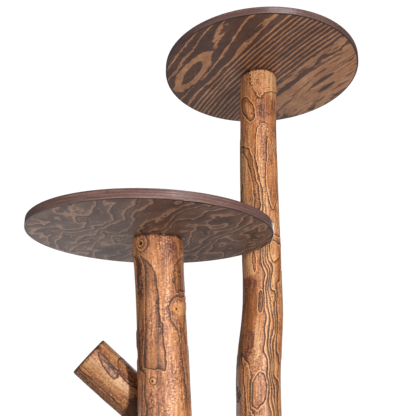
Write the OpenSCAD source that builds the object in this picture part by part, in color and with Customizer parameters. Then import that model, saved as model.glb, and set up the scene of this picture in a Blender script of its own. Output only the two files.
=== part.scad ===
// Cat tree: two peeled log posts and a leaning brace log on a round base board, with a
// round plywood perch on each post. Millimetres. The origin is the middle of the base's
// footprint on the floor, +Z is up and +X runs from the low perch towards the high perch.

/* [Perches] */
// Diameter of the low perch
lower_platform_d = 500; // [380:10:540]
// Diameter of the high perch
upper_platform_d = 520; // [380:10:640]
// Thickness of the perch plywood
platform_t = 18; // [15:1:24]
// Radius of the eased edge on all plywood rims
edge_r = 2; // [0.5:0.5:4]
// Distance between the centres of the two perches
perch_spacing = 347; // [330:1:430]

/* [Base] */
// Diameter of the round base board
base_d = 700; // [640:10:900]
// Thickness of the base board
base_t = 18; // [15:1:30]
// Diameter of a rubber foot
foot_d = 40; // [30:1:50]
// Height of a rubber foot
foot_h = 12; // [10:1:20]
// Distance of the outer feet from the rim of the base board
foot_inset = 20; // [5:1:60]
// Number of feet round the rim
foot_count = 6; // [4:1:8]

/* [Low post] */
// Length of the low post
lower_post_l = 690; // [560:5:850]
// Diameter of the low post
lower_post_d = 98; // [80:1:118]
// Sideways shift of the low post's top from its perch's centre
lower_top_shift = 12; // [0:1:15]
// Bow of the low post from top to foot
lower_bow = 31; // [0:1:40]

/* [High post] */
// Length of the high post
upper_post_l = 1210; // [1000:5:1460]
// Diameter of the high post below its top
upper_post_d = 98.5; // [80:0.5:119]
// Growth in diameter from top to foot
upper_taper = 12; // [0:1:16]
// Sideways shift of the high post's top from its perch's centre
upper_top_shift = 5; // [0:1:15]
// Bow of the upper part of the high post
upper_bow = 7; // [0:1:15]
// Sideways step of the kink in the high post
kink_step = 15; // [0:1:25]
// Distance of the kink's start from the post's top
kink_start = 610; // [500:5:700]
// Length of the kink
kink_l = 200; // [120:5:260]

/* [Brace log] */
// Diameter of the brace log
brace_d = 83.5; // [70:0.5:102]
// Angle of the brace above level
brace_rise = 40.8; // [36:0.2:44]
// Height above the base board at which the brace crosses the low post
brace_cross_h = 330; // [290:2:360]
// Length of brace from that crossing to the free end
brace_free_l = 190; // [120:1:240]
// Depth of the flat seat cut in each log where the brace crosses a post
seat_depth = 6; // [3:0.5:9]
// Play on each side of a log in its seat
seat_play = 3; // [2:0.5:6]
// Width of the bevel round the free end
end_bevel = 2.5; // [1:0.5:5]

/* [Perch fixings] */
// Diameter of the countersunk screws
deck_screw_d = 6; // [5:0.5:8]
// Length of the countersunk screws
deck_screw_l = 90; // [70:5:120]
// Diameter of the circle that the screws lie on
deck_screw_ring = 56; // [44:1:60]
// Number of screws in each perch
deck_screw_count = 4; // [3:1:4]
// Diameter of the locating dowels
dowel_d = 12; // [8:1:16]
// Length of the locating dowels
dowel_l = 60; // [40:2:80]
// Depth of each dowel in the plywood
dowel_in_board = 12; // [8:1:13]

/* [Base and brace fixings] */
// Diameter of the hexagon-head wood screws
lag_d = 8; // [6:1:10]
// Length of the wood screws from the base into the posts
post_lag_l = 80; // [60:5:110]
// Length of the wood screws from the base into the brace
brace_lag_l = 55; // [40:5:60]
// Length of the wood screws through the brace into a post
cross_lag_l = 110; // [90:5:120]
// Number of wood screws under each post
post_lag_count = 3; // [3:1:4]
// Diameter of the circle that those screws lie on
post_lag_ring = 58; // [46:1:62]
// Distance between the two screws under the brace
brace_lag_gap = 36; // [28:1:44]
// Outer diameter of a washer
washer_d = 16; // [14:1:22]
// Thickness of a washer
washer_t = 1.6; // [1:0.2:2.4]
// Diameter of the plugged hole over a screw in the brace
plug_d = 22; // [20:1:28]
// Depth of the plugged hole below the log's outermost line
plug_hole_depth = 24; // [20:1:30]
// Clearance round screws, dowels and plugs
clear = 0.15; // [0.1:0.05:0.4]

/* [Hidden] */

round_fn = 96;
log_sides = 36;
ring_step = 20;
drift_dir = -41.6; // plan angle along which both posts drift and bow

base_top = foot_h + base_t;
lower_deck_z = base_top + lower_post_l;
upper_deck_z = base_top + upper_post_l;
lag_head_h = 5.5;
lag_head_af = 13;
foot_screw_d = 4.5;
foot_screw_l = 20;
foot_screw_sink = 4;

top_ease_h = 8; // eased edge round the top of each post
top_ease_w = 3;

// ---- shape of the logs. d is the distance below a post's top end ----

function ease(t) = let(c = min(max(t, 0), 1)) c * c * (3 - 2 * c);
function swell(d, at, width, height) = height * exp(-pow((d - at) / width, 2));
function unit(angle) = [cos(angle), sin(angle)];
function side(angle) = [-sin(angle), cos(angle)];

function lower_drift(d) = lower_top_shift + lower_bow * sin(90 * d / lower_post_l);
function lower_dia(d) = lower_post_d + swell(d, 0, 75, 5.5) + swell(d, 390, 70, 3)
    + 5 * pow(d / lower_post_l, 3);
function lower_plan(d) = [-perch_spacing / 2, 0] + lower_drift(d) * unit(drift_dir);

function upper_drift(d) = -upper_top_shift - upper_bow * sin(90 * min(d / 330, 1))
    - kink_step * ease((d - kink_start) / kink_l);
function upper_dia(d) = upper_post_d + swell(d, 75, 45, 2) - swell(d, 0, 30, 2)
    - swell(d, 590, 80, 3) + swell(d, 750, 55, 3) + upper_taper * pow(d / upper_post_l, 2);
function upper_plan(d) = [perch_spacing / 2, 0] + upper_drift(d) * unit(drift_dir);

// Growing out of round: a log's radius at angle a, as a share of its mean radius
function lobes(a, d) = 1 + 0.012 * cos(2 * a + 0.14 * d) + 0.008 * cos(3 * a - 0.2 * d + 40);

// ---- line of the brace: level with the ground plan it runs along brace_dir, going down ----

brace_r = brace_d / 2;
cross_z = base_top + brace_cross_h;
lower_at = lower_plan(lower_post_l - brace_cross_h);
lower_r = lower_dia(lower_post_l - brace_cross_h) / 2;
upper_at = upper_plan(upper_post_l);
upper_r = upper_dia(upper_post_l - 100) / 2;
between = upper_at - lower_at;
brace_dir = atan2(between[1], between[0])
    - asin((lower_r + upper_r + brace_d - 4 * seat_depth) / norm(between));
cross_at = lower_at + (lower_r + brace_r - 2 * seat_depth) * side(brace_dir);
cross_run = between * unit(brace_dir);
brace_foot_run = brace_cross_h / tan(brace_rise);
brace_foot = cross_at + brace_foot_run * unit(brace_dir);
brace_l = brace_cross_h / sin(brace_rise) + brace_free_l;
lower_cross_s = brace_cross_h / sin(brace_rise);
upper_cross_s = lower_cross_s - cross_run / cos(brace_rise);
seat_plane = brace_r - seat_depth;
thick_r = brace_r + 2;
post_seat_w = 2 * (sqrt(pow(thick_r, 2) - pow(seat_plane - seat_depth, 2)) + seat_play);
lower_seat_w = 2 * (sqrt(pow(lower_r, 2) - pow(lower_r - 2 * seat_depth, 2)) + seat_play);
upper_seat_w = 2 * (sqrt(pow(upper_r, 2) - pow(upper_r - 2 * seat_depth, 2)) + seat_play);

function brace_dia(s) = brace_d + swell(s, 0, 160, 4) + swell(s, brace_l, 110, 3.3);

// Puts children on the brace: +Z runs up its axis from the base board, and +Y is level
module on_brace() {
    translate([brace_foot[0], brace_foot[1], base_top])
        rotate([0, 0, brace_dir + 180]) rotate([0, 90 - brace_rise, 0]) children();
}

// A closed log from rings of points: centre(h) is the axis and radius(h) the mean radius
module log_solid(heights, centre, radius, shape) {
    rings = len(heights);
    last = (rings - 1) * log_sides;
    points = [for (h = heights) for (j = [0 : log_sides - 1])
        let(a = 360 * j / log_sides, c = centre(h), r = radius(h) * shape(a, h))
        [c[0] + r * cos(a), c[1] + r * sin(a), h]];
    walls = [for (k = [0 : rings - 2]) for (j = [0 : log_sides - 1])
        let(n = (j + 1) % log_sides, low = k * log_sides, high = low + log_sides)
        each [[low + j, high + j, low + n], [high + j, high + n, low + n]]];
    bottom = [for (j = [0 : log_sides - 1]) j];
    top = [for (j = [log_sides - 1 : -1 : 0]) last + j];
    polyhedron(points = points, faces = concat(walls, [bottom, top]));
}

function ring_heights(low, high) = let(n = ceil((high - low) / ring_step))
    [for (k = [0 : n]) low + (high - low) * k / n];

function post_heights(top) = concat(ring_heights(base_top, top - top_ease_h),
    [top - top_ease_h / 2, top]);
function top_ease(d) = top_ease_w * pow(max(1 - d / top_ease_h, 0), 2);

// ---- fasteners. Each points up, with z = 0 under its head or at its head's face ----

module thread(d, root, l, pitch) {
    turns = floor(l / pitch);
    rotate_extrude($fn = round_fn)
        polygon(concat([[0, 0]],
            [for (k = [0 : turns - 1]) each
                [[root / 2, k * pitch], [d / 2, (k + 0.5) * pitch]]],
            [[root / 2, turns * pitch], [0, turns * pitch + root]]));
}

module lag_screw(l) {
    root = lag_d * 0.72;
    pitch = 3.6;
    plain = l * 0.4;
    threaded = floor((l - plain - root) / pitch) * pitch;
    translate([0, 0, -lag_head_h])
        cylinder(d = lag_head_af / cos(30), h = lag_head_h, $fn = 6);
    cylinder(d = lag_d, h = plain, $fn = round_fn);
    translate([0, 0, plain]) thread(lag_d, root, threaded, pitch);
}

module countersunk_screw(d, l) {
    head_d = 2 * d;
    head_h = d / 2;
    root = d * 0.68;
    pitch = d * 0.55;
    plain = l * 0.35;
    threaded = floor((l - plain - root) / pitch) * pitch;
    difference() {
        cylinder(d1 = head_d, d2 = d, h = head_h, $fn = round_fn);
        translate([0, 0, -1]) cylinder(d = d * 0.7, h = head_h, $fn = 6);
    }
    translate([0, 0, head_h]) cylinder(d = d * 0.8, h = plain - head_h, $fn = round_fn);
    translate([0, 0, plain]) thread(d, root, threaded, pitch);
}

module countersunk_hole(d, l) {
    translate([0, 0, -1]) cylinder(d = 2 * (d + clear), h = 1, $fn = round_fn);
    cylinder(d1 = 2 * (d + clear), d2 = d + 2 * clear, h = d / 2 + clear, $fn = round_fn);
    cylinder(d = d + 2 * clear, h = l + clear, $fn = round_fn);
}

module dowel() {
    bevel = 1;
    rotate_extrude($fn = round_fn) polygon([[0, 0], [dowel_d / 2 - bevel, 0],
        [dowel_d / 2, bevel], [dowel_d / 2, dowel_l - bevel], [dowel_d / 2 - bevel, dowel_l],
        [0, dowel_l]]);
}

module washer() {
    difference() {
        cylinder(d = washer_d, h = washer_t, $fn = round_fn);
        translate([0, 0, -1]) cylinder(d = lag_d + 0.4, h = washer_t + 2, $fn = round_fn);
    }
}

// ---- where the fasteners go ----

module on_ring(count, ring_d, first = 45) {
    for (k = [0 : count - 1]) rotate([0, 0, first + 360 * k / count])
        translate([ring_d / 2, 0, 0]) children();
}

module at_plan(p, z) {
    translate([p[0], p[1], z]) children();
}

module at_deck_screws(p, deck_z) {
    at_plan(p, deck_z + platform_t)
        on_ring(deck_screw_count, deck_screw_ring) rotate([180, 0, 0]) children();
}

module at_deck_dowel(p, deck_z) {
    at_plan(p, deck_z + dowel_in_board - dowel_l) children();
}

module at_base_dowel(p) {
    at_plan(p, base_top - dowel_in_board) children();
}

module at_base_lags(p) {
    at_plan(p, foot_h) on_ring(post_lag_count, post_lag_ring, 90) children();
}

module at_brace_lags() {
    for (s = [-1, 1])
        at_plan(brace_foot + s * brace_lag_gap / 2 * side(brace_dir), foot_h) children();
}

// A screw through the brace at s: into the low post (way 1) or the high post (way -1)
module at_cross(s, way) {
    on_brace() translate([0, 0, s]) rotate([-90 * way, 0, 0])
        translate([0, 0, plug_hole_depth - brace_r]) children();
}

module at_rim_feet() {
    on_ring(foot_count, base_d - 2 * foot_inset - foot_d, 0) children();
}

module dowel_hole() {
    translate([0, 0, -clear]) cylinder(d = dowel_d + 2 * clear, h = dowel_l + 2 * clear,
        $fn = round_fn);
}

module lag_hole(l) {
    cylinder(d = lag_d + 2 * clear, h = l + clear, $fn = round_fn);
}

module cross_hole() {
    lag_hole(cross_lag_l);
    translate([0, 0, -plug_hole_depth - brace_r])
        cylinder(d = plug_d + 2 * clear, h = plug_hole_depth + brace_r, $fn = round_fn);
}

// The wood taken off a post where the brace lies on it: a band along the brace
module post_seat(s) {
    on_brace() translate([-post_seat_w / 2, -seat_plane, s - post_seat_w])
        translate([0, 0, -brace_d]) cube([post_seat_w, 2 * seat_plane, 2 * (post_seat_w + brace_d)]);
}

// The wood taken off the brace where a post lies on it: a band that runs straight up
module brace_seat(s, way, w) {
    on_brace() translate([0, 0, s]) rotate([0, brace_rise - 90, 0])
        translate([-w / 2, way > 0 ? seat_plane : -seat_plane - brace_d, -2 * brace_d])
        cube([w, brace_d, 4 * brace_d]);
}

// ---- plywood ----

module board(d, t) {
    steps = 6;
    rotate_extrude($fn = round_fn * 2)
        polygon(concat([[0, 0]],
            [for (k = [0 : steps]) let(a = 90 * k / steps)
                [d / 2 - edge_r + edge_r * sin(a), edge_r - edge_r * cos(a)]],
            [for (k = [0 : steps]) let(a = 90 * k / steps)
                [d / 2 - edge_r + edge_r * cos(a), t - edge_r + edge_r * sin(a)]],
            [[0, t]]));
}

module platform(d, plan, deck_z, post_at) {
    difference() {
        at_plan(plan, deck_z) board(d, platform_t);
        at_deck_screws(post_at, deck_z) countersunk_hole(deck_screw_d, deck_screw_l);
        at_deck_dowel(post_at, deck_z) dowel_hole();
    }
}

module lower_platform() {
    color("#4f3a33")
        platform(lower_platform_d, [-perch_spacing / 2, 0], lower_deck_z, lower_plan(0));
}

module upper_platform() {
    color("#4f3a33")
        platform(upper_platform_d, [perch_spacing / 2, 0], upper_deck_z, upper_plan(0));
}

module base_board() {
    color("#4f3a33") difference() {
        translate([0, 0, foot_h]) board(base_d, base_t);
        at_base_lags(lower_plan(lower_post_l)) lag_hole(post_lag_l);
        at_base_lags(upper_plan(upper_post_l)) lag_hole(post_lag_l);
        at_brace_lags() lag_hole(brace_lag_l);
        at_base_dowel(lower_plan(lower_post_l)) dowel_hole();
        at_base_dowel(upper_plan(upper_post_l)) dowel_hole();
        at_rim_feet() translate([0, 0, foot_screw_sink]) lag_pilot();
    }
}

module lag_pilot() {
    cylinder(d = foot_screw_d + 2 * clear, h = foot_screw_l + clear, $fn = round_fn);
}

// ---- logs ----

module lower_post() {
    color("#9c6238") difference() {
        log_solid(post_heights(lower_deck_z),
            function(h) lower_plan(lower_deck_z - h),
            function(h) lower_dia(lower_deck_z - h) / 2 - top_ease(lower_deck_z - h),
            function(a, h) lobes(a, h));
        post_seat(lower_cross_s);
        at_deck_screws(lower_plan(0), lower_deck_z) countersunk_hole(deck_screw_d, deck_screw_l);
        at_deck_dowel(lower_plan(0), lower_deck_z) dowel_hole();
        at_base_dowel(lower_plan(lower_post_l)) dowel_hole();
        at_base_lags(lower_plan(lower_post_l)) lag_hole(post_lag_l);
        at_cross(lower_cross_s, 1) lag_hole(cross_lag_l);
    }
}

module upper_post() {
    color("#a8683a") difference() {
        log_solid(post_heights(upper_deck_z),
            function(h) upper_plan(upper_deck_z - h),
            function(h) upper_dia(upper_deck_z - h) / 2 - top_ease(upper_deck_z - h),
            function(a, h) lobes(a + 70, h));
        post_seat(upper_cross_s);
        at_deck_screws(upper_plan(0), upper_deck_z) countersunk_hole(deck_screw_d, deck_screw_l);
        at_deck_dowel(upper_plan(0), upper_deck_z) dowel_hole();
        at_base_dowel(upper_plan(upper_post_l)) dowel_hole();
        at_base_lags(upper_plan(upper_post_l)) lag_hole(post_lag_l);
        at_cross(upper_cross_s, -1) lag_hole(cross_lag_l);
    }
}

module brace_log() {
    below = brace_d / tan(brace_rise);
    color("#9a6440") difference() {
        on_brace() log_solid(
            concat(ring_heights(-below, brace_l - end_bevel), [brace_l]),
            function(s) [0, 0],
            function(s) brace_dia(s) / 2 - (s >= brace_l ? end_bevel : 0),
            function(a, s) lobes(a + 20, s));
        translate([-base_d, -base_d, base_top - 2 * brace_d])
            cube([2 * base_d, 2 * base_d, 2 * brace_d]);
        brace_seat(lower_cross_s, 1, lower_seat_w);
        brace_seat(upper_cross_s, -1, upper_seat_w);
        at_cross(lower_cross_s, 1) cross_hole();
        at_cross(upper_cross_s, -1) cross_hole();
        at_brace_lags() lag_hole(brace_lag_l);
    }
}

// ---- small parts ----

module rubber_foot() {
    bevel = 2;
    rotate_extrude($fn = round_fn) polygon([[0, 0], [foot_d / 2 - bevel, 0],
        [foot_d / 2, foot_h], [0, foot_h]]);
}

// The feet round the rim are screwed on and the middle one is glued, so it has no hole
module rubber_feet() {
    color("#202020") {
        rubber_foot();
        at_rim_feet() difference() {
            rubber_foot();
            translate([0, 0, foot_screw_sink]) countersunk_hole(foot_screw_d, foot_h);
            translate([0, 0, -1]) cylinder(d = 2 * foot_screw_d + 1, h = foot_screw_sink + 1,
                $fn = round_fn);
        }
    }
}

module foot_screws() {
    color("#b8b8b8") at_rim_feet() translate([0, 0, foot_screw_sink])
        countersunk_screw(foot_screw_d, foot_screw_l);
}

module lower_platform_screws() {
    color("#c9b060") at_deck_screws(lower_plan(0), lower_deck_z)
        countersunk_screw(deck_screw_d, deck_screw_l);
}

module upper_platform_screws() {
    color("#c9b060") at_deck_screws(upper_plan(0), upper_deck_z)
        countersunk_screw(deck_screw_d, deck_screw_l);
}

module lower_platform_dowel() {
    color("#d8b98a") at_deck_dowel(lower_plan(0), lower_deck_z) dowel();
}

module upper_platform_dowel() {
    color("#d8b98a") at_deck_dowel(upper_plan(0), upper_deck_z) dowel();
}

module lower_base_dowel() {
    color("#d8b98a") at_base_dowel(lower_plan(lower_post_l)) dowel();
}

module upper_base_dowel() {
    color("#d8b98a") at_base_dowel(upper_plan(upper_post_l)) dowel();
}

module lower_base_screws() {
    color("#b8b8b8") at_base_lags(lower_plan(lower_post_l))
        translate([0, 0, -washer_t]) lag_screw(post_lag_l);
}

module upper_base_screws() {
    color("#b8b8b8") at_base_lags(upper_plan(upper_post_l))
        translate([0, 0, -washer_t]) lag_screw(post_lag_l);
}

module brace_base_screws() {
    color("#b8b8b8") at_brace_lags() translate([0, 0, -washer_t]) lag_screw(brace_lag_l);
}

module base_washers() {
    color("#c8c8c8") {
        at_base_lags(lower_plan(lower_post_l)) translate([0, 0, -washer_t]) washer();
        at_base_lags(upper_plan(upper_post_l)) translate([0, 0, -washer_t]) washer();
        at_brace_lags() translate([0, 0, -washer_t]) washer();
    }
}

module lower_cross_screw() {
    color("#b8b8b8") at_cross(lower_cross_s, 1)
        translate([0, 0, -washer_t]) lag_screw(cross_lag_l);
}

module upper_cross_screw() {
    color("#b8b8b8") at_cross(upper_cross_s, -1)
        translate([0, 0, -washer_t]) lag_screw(cross_lag_l);
}

module cross_washers() {
    color("#c8c8c8") {
        at_cross(lower_cross_s, 1) translate([0, 0, -washer_t]) washer();
        at_cross(upper_cross_s, -1) translate([0, 0, -washer_t]) washer();
    }
}

// A plug's outer face lies just under the log's surface, clear of the screw's head
module cross_plug() {
    face = 1.6;
    gap = 1;
    bottom = washer_t + lag_head_h + gap;
    translate([0, 0, face - plug_hole_depth])
        cylinder(d = plug_d, h = plug_hole_depth - face - bottom, $fn = round_fn);
}

module lower_cross_plug() {
    color("#8a5a3a") at_cross(lower_cross_s, 1) cross_plug();
}

module upper_cross_plug() {
    color("#8a5a3a") at_cross(upper_cross_s, -1) cross_plug();
}

base_board();
rubber_feet();
foot_screws();
lower_post();
upper_post();
brace_log();
lower_platform();
upper_platform();
lower_platform_screws();
upper_platform_screws();
lower_platform_dowel();
upper_platform_dowel();
lower_base_dowel();
upper_base_dowel();
lower_base_screws();
upper_base_screws();
brace_base_screws();
base_washers();
lower_cross_screw();
upper_cross_screw();
cross_washers();
lower_cross_plug();
upper_cross_plug();
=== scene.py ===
# %% [markdown]
# # A log cat tree
# The real object has two peeled log posts, a third log that leans between them, a round
# plywood perch on each post and a round base board on rubber feet. The packed CAD model
# holds every piece at its true size. This lesson keeps the pieces whose shape is already
# right, gives them their finish, and models the three logs again with their worn relief.

# %% Load the packed model
import math
import bmesh
import bpy
import numpy as np
from mathutils import Matrix, Vector, noise
from mathutils.bvhtree import BVHTree


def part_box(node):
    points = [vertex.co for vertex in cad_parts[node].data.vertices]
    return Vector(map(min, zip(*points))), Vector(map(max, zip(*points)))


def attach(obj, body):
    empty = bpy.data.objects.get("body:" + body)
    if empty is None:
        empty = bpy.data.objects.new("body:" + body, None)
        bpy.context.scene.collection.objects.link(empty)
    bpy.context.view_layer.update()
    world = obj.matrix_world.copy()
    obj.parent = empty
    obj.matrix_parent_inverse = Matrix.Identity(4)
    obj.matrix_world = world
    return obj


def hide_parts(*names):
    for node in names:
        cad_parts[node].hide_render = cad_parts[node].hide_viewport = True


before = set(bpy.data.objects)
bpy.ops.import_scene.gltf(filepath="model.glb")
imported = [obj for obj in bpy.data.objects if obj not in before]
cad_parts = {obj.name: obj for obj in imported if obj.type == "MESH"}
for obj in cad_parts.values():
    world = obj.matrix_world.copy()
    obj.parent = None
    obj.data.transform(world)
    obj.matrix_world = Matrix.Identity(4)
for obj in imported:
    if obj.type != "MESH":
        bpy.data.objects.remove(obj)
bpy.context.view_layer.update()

# %% [markdown]
# The camera looks up at the perches from a little under half a metre above the floor.
# A lens shift keeps the perches in the upper part of the frame, so the frame ends above
# the base and the view stays on the posts and the perches. FRONT is the side of the object
# that faces the camera, in degrees round from the x axis, and the lamps and the figure of
# the logs are placed from it.

# %% Camera
FRONT = 228.4
camera = bpy.data.objects.new("camera", bpy.data.cameras.new("camera"))
bpy.context.scene.collection.objects.link(camera)
bpy.context.scene.camera = camera
camera.data.sensor_width = 36.0
camera.data.lens = 44.29
camera.data.shift_y = 0.0793
camera.location = (-0.7648, -0.8409, 0.4497)
camera.rotation_euler = (math.radians(104.52), 0.0, math.radians(-41.557))
print("camera at", tuple(camera.location), "before the side at", FRONT, "degrees")

# %% [markdown]
# Every finish below is a sum of patterns, so the sums are written as sums. A Wire is one
# output of a node, and an operator on it adds the Math node that does the work. A Finish
# is a material, with one method that adds any node.

# %% A wire


class Wire:
    def __init__(self, finish, socket):
        self.finish = finish
        self.socket = socket

    def math(self, operation, *values):
        return self.finish.node("Math", {"operation": operation}, [self, *values])

    def __add__(self, other):
        return self.math("ADD", other)

    def __sub__(self, other):
        return self.math("SUBTRACT", other)

    def __rsub__(self, other):
        return self.finish.node("Math", {"operation": "SUBTRACT"}, [other, self])

    def __mul__(self, other):
        return self.math("MULTIPLY", other)

    def __truediv__(self, other):
        return self.math("DIVIDE", other)

    def __pow__(self, other):
        return self.math("POWER", other)

    __radd__ = __add__
    __rmul__ = __mul__

    def most(self, other):
        return self.math("MAXIMUM", other)

    def least(self, other):
        return self.math("MINIMUM", other)


print("a wire can be used in", len([n for n in vars(Wire) if n.startswith("__")]), "ways")

# %% [markdown]
# A Finish starts with its last two nodes, the shader and the output. Its method node adds
# any other one: the settings are made first, and then each socket gets its value or link.
# The other methods are the patterns that come back in several finishes. fade goes smoothly
# from 0 at its first limit to 1 at its second one, whichever of them is higher.

# %% A finish


class Finish:
    def __init__(self, name, shader="BsdfPrincipled"):
        self.material = bpy.data.materials.new(name)
        self.material.use_nodes = True
        self.tree = self.material.node_tree
        self.tree.nodes.clear()
        self.shader = self.tree.nodes.new("ShaderNode" + shader)
        last = self.tree.nodes.new("ShaderNodeOutputMaterial")
        self.tree.links.new(self.shader.outputs[0], last.inputs["Surface"])

    def put(self, socket, value):
        if isinstance(value, Wire):
            self.tree.links.new(value.socket, socket)
        elif isinstance(value, tuple) and len(value) == 3 and socket.type == "RGBA":
            socket.default_value = (*value, 1.0)
        else:
            socket.default_value = value

    def node(self, kind, settings=None, sockets=(), out=0):
        node = self.tree.nodes.new("ShaderNode" + kind)
        for key, value in (settings or {}).items():
            if key == "stops":
                ramp = node.color_ramp
                while len(ramp.elements) < len(value):
                    ramp.elements.new(0.5)
                for stop, (at, colour) in zip(ramp.elements, value):
                    stop.position = at
                    stop.color = (*colour, 1.0)
            else:
                setattr(node, key, value)
        pairs = sockets.items() if isinstance(sockets, dict) else enumerate(sockets)
        for key, value in pairs:
            if value is not None:
                self.put(node.inputs[key], value)
        return Wire(self, node.outputs[out])

    def set(self, **values):
        for key, value in values.items():
            self.put(self.shader.inputs[key.replace("_", " ")], value)

    def stretch(self, place, size):
        share = tuple(1.0 / s for s in size)
        return self.node("VectorMath", {"operation": "MULTIPLY"}, [place, share])

    def noise(self, place, size, detail=2.0, rough=0.5, swirl=0.0):
        sockets = {"Vector": self.stretch(place, size), "Scale": 1.0, "Detail": detail,
                   "Roughness": rough, "Distortion": swirl}
        return self.node("TexNoise", None, sockets)

    def fade(self, value, low, high):
        sockets = [value, min(low, high), max(low, high)]
        sockets += [0.0, 1.0] if high > low else [1.0, 0.0]
        return self.node("MapRange", {"interpolation_type": "SMOOTHSTEP"}, sockets)

    def mix(self, share, a, b):
        return self.node("Mix", {"data_type": "RGBA"}, {0: share, 6: a, 7: b}, out=2)

    def ramp(self, value, stops):
        return self.node("ValToRGB", {"stops": stops}, [value])

    def bump(self, height, strength=1.0):
        sockets = {"Height": height, "Strength": strength, "Distance": 0.001}
        self.set(Normal=self.node("Bump", None, sockets))

    def own(self, name, out):
        return self.node("Attribute", {"attribute_name": name}, out=out)

    def millimetres(self, centre=(0.0, 0.0, 0.0)):
        place = self.node("TexCoord", None, out=3)
        moved = self.node("VectorMath", {"operation": "SUBTRACT"}, [place, centre])
        return self.node("VectorMath", {"operation": "SCALE"}, {0: moved, "Scale": 1000.0})

    def apart(self, place):
        parts = self.node("SeparateXYZ", None, [place])
        node = parts.socket.node
        return [Wire(self, node.outputs[k]) for k in range(3)]

    def joined(self, x, y, z):
        return self.node("CombineXYZ", None, [x, y, z])


# %% Colours


def tone(code):
    """A colour written as six hexadecimal digits, as the linear values that nodes use."""
    parts = [int(code[k:k + 2], 16) / 255 for k in (0, 2, 4)]
    return tuple(c / 12.92 if c <= 0.04045 else ((c + 0.055) / 1.055) ** 2.4 for c in parts)


print("tan in linear values:", [round(c, 3) for c in tone("c68a54")])

# %% [markdown]
# The studio is a pale floor under an even white surround. The surround is bright where the
# camera sees it and dim as a source of light, so that one small lamp beside the camera gives
# the logs their form. The floor is round and fades out into the surround towards its edge,
# so no horizon shows. It glows a little for the camera, but lights nothing by that. From
# below it is clear, so the feet and the screws under the base can be looked at.

# %% Floor
bm = bmesh.new()
bmesh.ops.create_circle(bm, cap_ends=True, segments=96, radius=3.2)
floor_mesh = bpy.data.meshes.new("floor")
bm.to_mesh(floor_mesh)
bm.free()
floor = bpy.data.objects.new("floor", floor_mesh)
bpy.context.scene.collection.objects.link(floor)

paint = Finish("floor_paint", "MixShader")
place = paint.node("TexCoord", None, out=3)
away = paint.node("VectorMath", {"operation": "LENGTH"}, [place], out=1)
from_below = paint.node("NewGeometry", None, out=6)
for_camera = paint.node("LightPath")
dull = paint.node("BsdfDiffuse", None, {"Color": (0.8, 0.8, 0.8)})
glow = paint.node("Emission", None, {"Strength": for_camera * 0.55})
paint.put(paint.shader.inputs[0], paint.fade(away, 1.0, 3.1).most(from_below))
paint.put(paint.shader.inputs[1], paint.node("AddShader", None, [dull, glow]))
paint.put(paint.shader.inputs[2], paint.node("BsdfTransparent"))
floor_mesh.materials.append(paint.material)
print("floor:", len(floor_mesh.vertices), "points on its edge, and", from_below.socket.name)

# %% Surround
world = bpy.data.worlds.new("studio")
bpy.context.scene.world = world
world.use_nodes = True
tree = world.node_tree
tree.nodes.clear()
either = tree.nodes.new("ShaderNodeMixShader")
for slot, colour, strength in ((1, (0.96, 0.98, 1.0, 1.0), 0.09),
                               (2, (1.0, 1.0, 1.0, 1.0), 1.05)):
    light = tree.nodes.new("ShaderNodeBackground")
    light.inputs["Color"].default_value = colour
    light.inputs["Strength"].default_value = strength
    tree.links.new(light.outputs[0], either.inputs[slot])
for_camera = tree.nodes.new("ShaderNodeLightPath").outputs["Is Camera Ray"]
tree.links.new(for_camera, either.inputs[0])
out = tree.nodes.new("ShaderNodeOutputWorld")
tree.links.new(either.outputs[0], out.inputs["Surface"])
bpy.context.scene.view_settings.view_transform = "Standard"
print("surround:", len(tree.nodes), "nodes")

# %% [markdown]
# The lamps stand round the object at angles counted from FRONT. A small key lamp gives the
# logs their bright streak, a tall box beside it softens that, and a low bounce lights the
# perches from below. One lamp behind the object lights its far edges, and two more fill the
# left and the undersides. None of them lights the floor, because its pool of light would
# show there. A soft sun lights it evenly instead. What a lamp skips is in a collection.

# %% Lamps


def lamp(name, at, towards, width, height, power, skips):
    data = bpy.data.lights.new(name, "AREA")
    data.shape = "ELLIPSE"
    data.size = width
    data.size_y = height
    data.energy = power
    obj = bpy.data.objects.new(name, data)
    bpy.context.scene.collection.objects.link(obj)
    obj.location = at
    aim = Vector(towards) - Vector(at)
    obj.rotation_euler = aim.to_track_quat("-Z", "Y").to_euler()
    obj.light_linking.receiver_collection = skips
    return obj


def beside_camera(turn, distance, height):
    a = math.radians(FRONT + turn)
    return (distance * math.cos(a), distance * math.sin(a), height)


def left_out(name, piece):
    skips = bpy.data.collections.new(name)
    skips.objects.link(piece)
    skips.collection_objects[0].light_linking.link_state = "EXCLUDE"
    return skips


not_floor = left_out("not_floor", floor)
not_brace = left_out("not_brace", floor)
lamp("key", beside_camera(28, 2.3, 0.32), (0, 0, 0.85), 0.14, 0.14, 48, not_floor)
lamp("box", beside_camera(22, 1.8, 2.0), (0, 0, 1.0), 1.1, 1.4, 15, not_floor)
lamp("bounce", (0.1, 1.25, 0.04), (-0.1, 0.05, 0.9), 1.3, 1.3, 6.5, not_floor)
lamp("back", beside_camera(165, 2.6, 1.0), (0, 0, 0.7), 1.6, 1.6, 14, not_floor)
lamp("low", beside_camera(-13, 1.7, 0.03), (0, 0, 0.9), 1.7, 1.0, 16.5, not_brace)
lamp("fill", beside_camera(-44, 2.4, 0.42), (0, 0, 0.95), 1.4, 1.0, 12, not_brace)
sky = bpy.data.objects.new("sky", bpy.data.lights.new("sky", "SUN"))
bpy.context.scene.collection.objects.link(sky)
sky.data.energy = 1.5
sky.data.angle = math.radians(50)
sky.rotation_euler = (math.radians(-12), math.radians(14), 0.0)

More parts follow.
